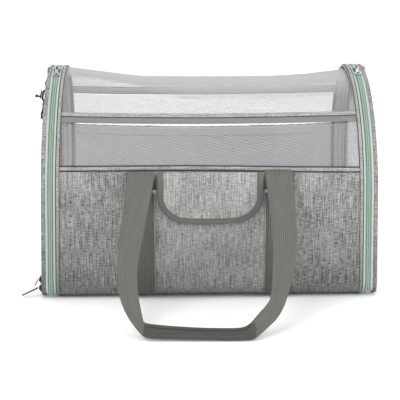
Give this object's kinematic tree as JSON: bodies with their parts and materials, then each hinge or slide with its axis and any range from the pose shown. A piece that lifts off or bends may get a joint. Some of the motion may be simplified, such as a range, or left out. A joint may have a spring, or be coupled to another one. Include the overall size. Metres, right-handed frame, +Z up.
{
  "type": "pet carrier bag",
  "caption": "Soft-sided pet carrier bag with an arched mesh roof, zipped fold-down end panels, webbing carry handles and a flapped front pocket.",
  "frame": {"origin": "middle of the base on the floor", "axes": "+X along the bag to the right, +Y to the back, +Z up"},
  "size_m": [0.494, 0.615, 0.2908],
  "materials": {
    "melange_fabric": "woven melange, padded",
    "piping_fabric": "folded melange strip",
    "tape_grey": "ribbed tape",
    "flap_fabric": "melange with bound edge",
    "mesh": "open net",
    "zipper_mint": "zipper tape and coil",
    "webbing": "ribbed webbing",
    "spring_steel": "spring wire",
    "fibre_rod": "glass fibre rod",
    "board": "stiff board",
    "mat_fleece": "fleece",
    "hook_loop": "hook and loop",
    "dark_metal": "gunmetal",
    "silver_metal": "nickel",
    "tab_tape": "narrow tape"
  },
  "bodies": {
    "shell": {"bottom_panel": "melange_fabric", "front_wall": "melange_fabric", "back_wall": "melange_fabric", "front_seam_piping": "piping_fabric", "back_seam_piping": "piping_fabric", "front_mesh": "mesh", "back_mesh": "mesh", "roof_mesh": "mesh", "front_roof_band": "tape_grey", "back_roof_band": "tape_grey", "front_stay_rod": "fibre_rod", "back_stay_rod": "fibre_rod", "base_board": "board", "floor_mat": "mat_fleece", "front_straps": "webbing", "back_straps": "webbing", "front_pocket": "melange_fabric", "pocket_loop_tape": "hook_loop", "left_piping_hoop": "piping_fabric", "left_body_zipper": "zipper_mint", "left_fold_strip": "melange_fabric", "right_piping_hoop": "piping_fabric", "right_body_zipper": "zipper_mint", "right_fold_strip": "melange_fabric"},
    "left_end": {"left_panel_zipper": "zipper_mint", "left_end_border": "melange_fabric", "left_hoop_wire": "spring_steel", "left_ring_loop": "webbing"},
    "left_door": {"left_mesh_door": "mesh"},
    "left_ring": {"left_d_ring": "dark_metal", "left_snap_hook": "dark_metal", "left_hook_strap": "webbing"},
    "left_lever": {"left_hook_lever": "dark_metal"},
    "left_slider": {"left_top_slider": "silver_metal"},
    "left_pull": {"left_top_pull": "silver_metal"},
    "left_door_sliders": {"left_upper_door_slider": "silver_metal", "left_lower_door_slider": "silver_metal"},
    "left_upper_tab": {"left_upper_door_tab": "tab_tape"},
    "left_lower_tab": {"left_lower_door_tab": "tab_tape"},
    "right_end": {"right_panel_zipper": "zipper_mint", "right_end_border": "melange_fabric", "right_hoop_wire": "spring_steel", "right_ring_loop": "webbing"},
    "right_door": {"right_mesh_door": "mesh"},
    "right_ring": {"right_d_ring": "dark_metal"},
    "right_slider": {"right_top_slider": "silver_metal"},
    "right_pull": {"right_top_pull": "silver_metal"},
    "right_door_sliders": {"right_upper_door_slider": "silver_metal", "right_lower_door_slider": "silver_metal"},
    "right_upper_tab": {"right_upper_door_tab": "tab_tape"},
    "right_lower_tab": {"right_lower_door_tab": "tab_tape"},
    "front_carry": {"front_handle": "webbing"},
    "back_carry": {"back_handle": "webbing"},
    "flap": {"pocket_flap": "flap_fabric", "flap_hook_tape": "hook_loop"}
  },
  "joints": [
    {"name": "left_end_fold", "type": "hinge", "parent": "shell", "child": "left_end", "pos_m": [-0.21987, 0, 0.0065], "axis": [0, -1, 0], "range_deg": [0, 80]},
    {"name": "left_door_fold", "type": "hinge", "parent": "left_end", "child": "left_door", "pos_m": [-0.21561, 0, 0.00941], "axis": [0, 1, 0], "range_deg": [0, 70]},
    {"name": "left_zip", "type": "hinge", "parent": "shell", "child": "left_slider", "pos_m": [-0.20501, 0, 0.13578], "axis": [0.9998, 0, -0.0209], "range_deg": [-97, 71]},
    {"name": "left_pull_swing", "type": "hinge", "parent": "left_slider", "child": "left_pull", "pos_m": [-0.20183, -0.02559, 0.28771], "axis": [-0.9998, 0, 0.0209], "range_deg": [0, 110]},
    {"name": "left_ring_swing", "type": "hinge", "parent": "left_end", "child": "left_ring", "pos_m": [-0.21771, 0, 0.26251], "axis": [0, 1, 0], "range_deg": [0, 60]},
    {"name": "left_lever_slide", "type": "slide", "parent": "left_ring", "child": "left_lever", "axis": [-0.1771, 0, -0.9842], "range_m": [0, 0.004], "stiffness_N_per_m": 150},
    {"name": "left_door_zip", "type": "slide", "parent": "left_end", "child": "left_door_sliders", "axis": [0.0209, 0, 0.9998], "range_m": [0, 0.108]},
    {"name": "left_upper_tab_swing", "type": "hinge", "parent": "left_door_sliders", "child": "left_upper_tab", "pos_m": [-0.225, -0.136, 0.02461], "axis": [0, 1, 0], "range_deg": [0, 90]},
    {"name": "left_lower_tab_swing", "type": "hinge", "parent": "left_door_sliders", "child": "left_lower_tab", "pos_m": [-0.22524, -0.136, 0.01311], "axis": [0, 1, 0], "range_deg": [0, 45]},
    {"name": "right_end_fold", "type": "hinge", "parent": "shell", "child": "right_end", "pos_m": [0.21987, 0, 0.0065], "axis": [0, 1, 0], "range_deg": [0, 80]},
    {"name": "right_door_fold", "type": "hinge", "parent": "right_end", "child": "right_door", "pos_m": [0.21561, 0, 0.00941], "axis": [0, -1, 0], "range_deg": [0, 70]},
    {"name": "right_zip", "type": "hinge", "parent": "shell", "child": "right_slider", "pos_m": [0.20501, 0, 0.13578], "axis": [-0.9998, 0, -0.0209], "range_deg": [-71, 97]},
    {"name": "right_pull_swing", "type": "hinge", "parent": "right_slider", "child": "right_pull", "pos_m": [0.20183, -0.02559, 0.28771], "axis": [-0.9998, 0, -0.0209], "range_deg": [0, 110]},
    {"name": "right_ring_swing", "type": "hinge", "parent": "right_end", "child": "right_ring", "pos_m": [0.21771, 0, 0.26251], "axis": [0, -1, 0], "range_deg": [0, 60]},
    {"name": "right_door_zip", "type": "slide", "parent": "right_end", "child": "right_door_sliders", "axis": [-0.0209, 0, 0.9998], "range_m": [0, 0.108]},
    {"name": "right_upper_tab_swing", "type": "hinge", "parent": "right_door_sliders", "child": "right_upper_tab", "pos_m": [0.225, 0.136, 0.02461], "axis": [0, -1, 0], "range_deg": [0, 90]},
    {"name": "right_lower_tab_swing", "type": "hinge", "parent": "right_door_sliders", "child": "right_lower_tab", "pos_m": [0.22524, 0.136, 0.01311], "axis": [0, -1, 0], "range_deg": [0, 45]},
    {"name": "front_handle_fold", "type": "hinge", "parent": "shell", "child": "front_carry", "pos_m": [0, -0.1535, 0.17], "axis": [-1, 0, 0], "range_deg": [0, 150]},
    {"name": "back_handle_fold", "type": "hinge", "parent": "shell", "child": "back_carry", "pos_m": [0, 0.1535, 0.17], "axis": [1, 0, 0], "range_deg": [0, 150]},
    {"name": "flap_fold", "type": "hinge", "parent": "shell", "child": "flap", "pos_m": [0, -0.1532, 0.17], "axis": [-1, 0, 0], "range_deg": [0, 150]}
  ]
}
